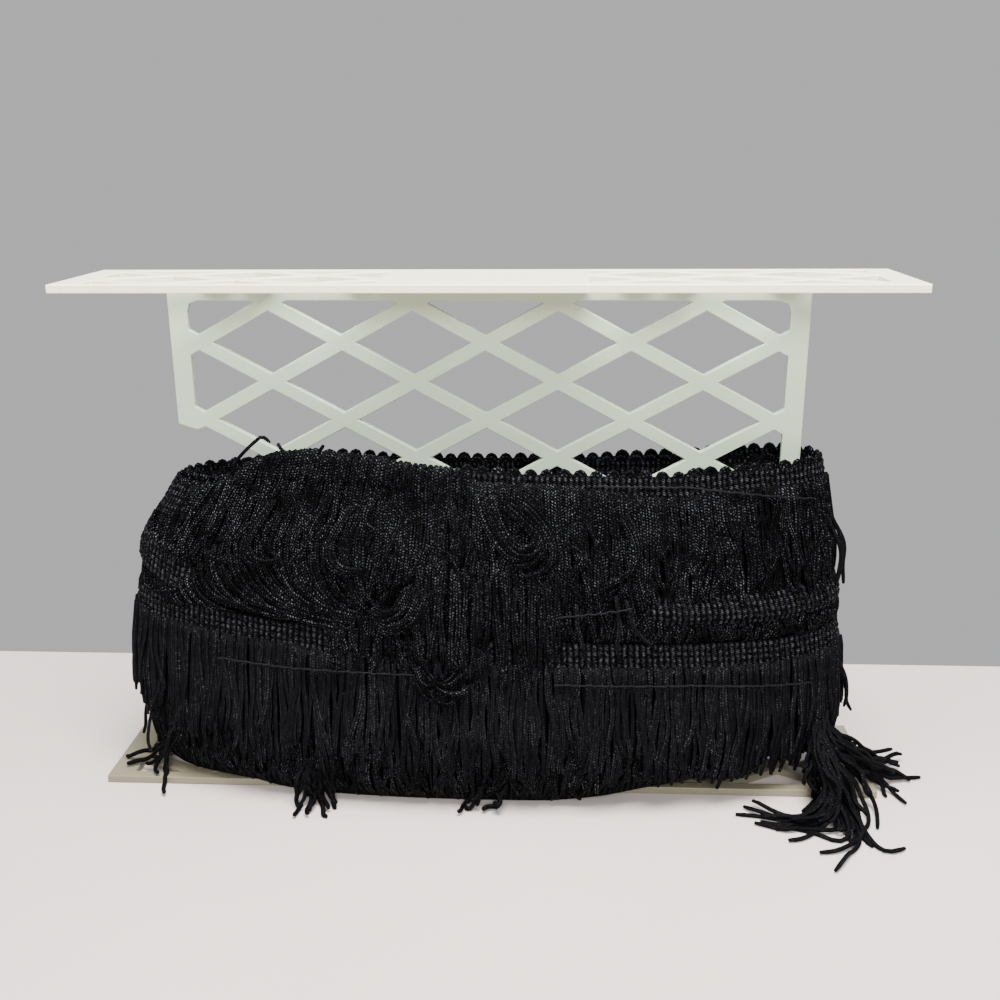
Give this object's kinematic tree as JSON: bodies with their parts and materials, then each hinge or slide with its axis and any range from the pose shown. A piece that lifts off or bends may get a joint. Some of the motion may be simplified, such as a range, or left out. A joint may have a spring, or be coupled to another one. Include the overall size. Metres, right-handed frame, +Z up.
{
  "type": "chainette fringe trim",
  "caption": "Black chainette fringe trim wound on a flat cream lattice reel that stands on its lower flange, with one loose end splayed on the floor.",
  "frame": {"origin": "middle of the lower flange's underside, on the floor under the middle of the web", "axes": "+X along the flanges towards the end with the loose tail, +Y away from the side that the picture shows, +Z up from the lower flange to the upper one"},
  "size_m": [0.3843, 0.1374, 0.231],
  "materials": {
    "reel_plastic": "satin cream polystyrene",
    "black_yarn": "black rayon chainette with a faint sparkle"
  },
  "bodies": {
    "root": {"reel_web": "reel_plastic", "bottom_flange": "reel_plastic", "top_flange": "reel_plastic", "wound_trim": "black_yarn", "fringe_band_top": "black_yarn", "fringe_band_low": "black_yarn", "loose_tail": "black_yarn", "left_tuft": "black_yarn", "front_tuft": "black_yarn"}
  },
  "joints": []
}
